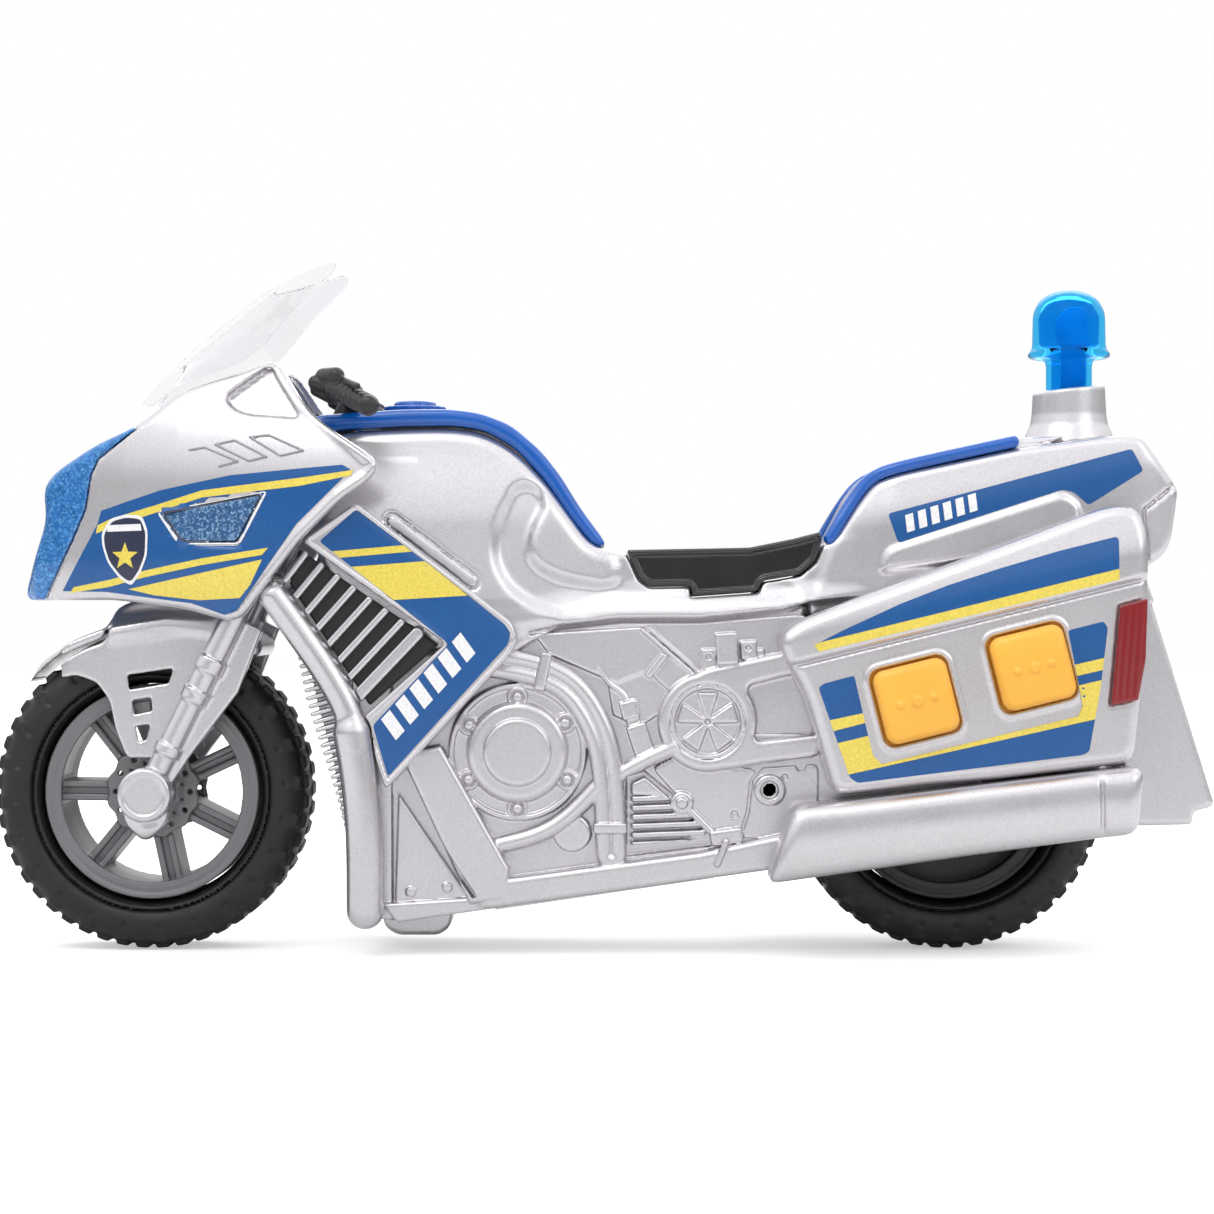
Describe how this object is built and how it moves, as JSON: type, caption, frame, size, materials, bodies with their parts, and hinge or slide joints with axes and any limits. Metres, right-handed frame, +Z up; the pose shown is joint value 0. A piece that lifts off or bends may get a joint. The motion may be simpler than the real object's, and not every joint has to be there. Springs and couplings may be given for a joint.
{
  "type": "toy police motorcycle with light and sound",
  "caption": "Toy police-style motorcycle with free-rolling wheels, a turning front fork, sprung sound buttons, a beacon light on a post and panniers over an inner shell with batteries.",
  "frame": {"origin": "on the ground, under the middle of the bike's overall box", "axes": "+Z up, the front wheel points along -X, the left side with the sound buttons faces -Y"},
  "size_m": [0.279, 0.0778, 0.1577],
  "materials": {
    "silver_shell": "metallic silver moulding",
    "blue_trim": "gloss",
    "blue_lens": "clear blue with glitter",
    "clear_screen": "clear plastic",
    "black_gloss": "gloss",
    "black_matte": "satin",
    "dark_grey": "satin",
    "tyre": "matte moulded tyre",
    "orange_button": "satin",
    "red_lens": "printed red",
    "steel": "bright",
    "battery": "gloss sleeve",
    "board": "green board",
    "lamp": "clear lamp"
  },
  "bodies": {
    "body": {"main_shell_left": "silver_shell", "main_shell_right": "silver_shell", "fairing": "silver_shell", "fuel_cap": "silver_shell", "beacon_base": "silver_shell", "pannier_left": "silver_shell", "pannier_right": "silver_shell", "silencer_left": "silver_shell", "silencer_right": "silver_shell", "crash_tube_left": "silver_shell", "crash_tube_right": "silver_shell", "side_panel_left": "silver_shell", "side_panel_right": "silver_shell", "radiator": "silver_shell", "underside_foot": "silver_shell", "rear_mudguard": "silver_shell", "battery_door": "silver_shell", "tank_cover": "blue_trim", "tail_trim_left": "blue_trim", "tail_trim_right": "blue_trim", "headlight_lens": "blue_lens", "side_light_left": "blue_lens", "side_light_right": "blue_lens", "beacon_dome": "blue_lens", "windscreen": "clear_screen", "seat": "black_gloss", "grille_left": "black_matte", "grille_right": "black_matte", "battery_tray": "black_matte", "speaker": "black_matte", "reflector_left": "red_lens", "reflector_right": "red_lens", "rear_lamp": "red_lens", "rear_axle": "steel", "battery_contact_front": "steel", "battery_contact_rear": "steel", "battery_door_screw": "steel", "shell_screw_1": "steel", "shell_screw_2": "steel", "shell_screw_3": "steel", "shell_screw_4": "steel", "battery_cell_1": "battery", "battery_cell_2": "battery", "battery_cell_3": "battery", "circuit_board": "board", "headlight_lamp": "lamp", "beacon_lamp": "lamp"},
    "fork": {"fork_leg_left": "silver_shell", "fork_leg_right": "silver_shell", "front_fender": "silver_shell", "steering_stem": "silver_shell", "handlebar": "black_gloss", "front_axle": "steel"},
    "front_wheel": {"front_rim": "dark_grey", "front_tyre": "tyre"},
    "rear_wheel": {"rear_rim": "dark_grey", "rear_tyre": "tyre"},
    "front_button": {"button_front": "orange_button"},
    "rear_button": {"button_rear": "orange_button"},
    "switch": {"power_switch": "black_matte"}
  },
  "joints": [
    {"name": "steering", "type": "hinge", "parent": "body", "child": "fork", "pos_m": [-0.1035, 0, 0.036], "axis": [0.4462, 0, 0.8949], "range_deg": [-10, 10]},
    {"name": "front_wheel_spin", "type": "hinge", "parent": "fork", "child": "front_wheel", "pos_m": [-0.1035, 0, 0.036], "axis": [0, 1, 0], "continuous": true},
    {"name": "rear_wheel_spin", "type": "hinge", "parent": "body", "child": "rear_wheel", "pos_m": [0.0787, 0, 0.036], "axis": [0, 1, 0], "continuous": true},
    {"name": "front_button_press", "type": "slide", "parent": "body", "child": "front_button", "axis": [0, 1, 0], "range_m": [0, 0.0015], "stiffness_N_per_m": 300, "springref_m": -0.001},
    {"name": "rear_button_press", "type": "slide", "parent": "body", "child": "rear_button", "axis": [0, 1, 0], "range_m": [0, 0.0015], "stiffness_N_per_m": 300, "springref_m": -0.001},
    {"name": "power_switch_slide", "type": "slide", "parent": "body", "child": "switch", "axis": [0.9895, 0, 0.1444], "range_m": [0, 0.003]}
  ]
}
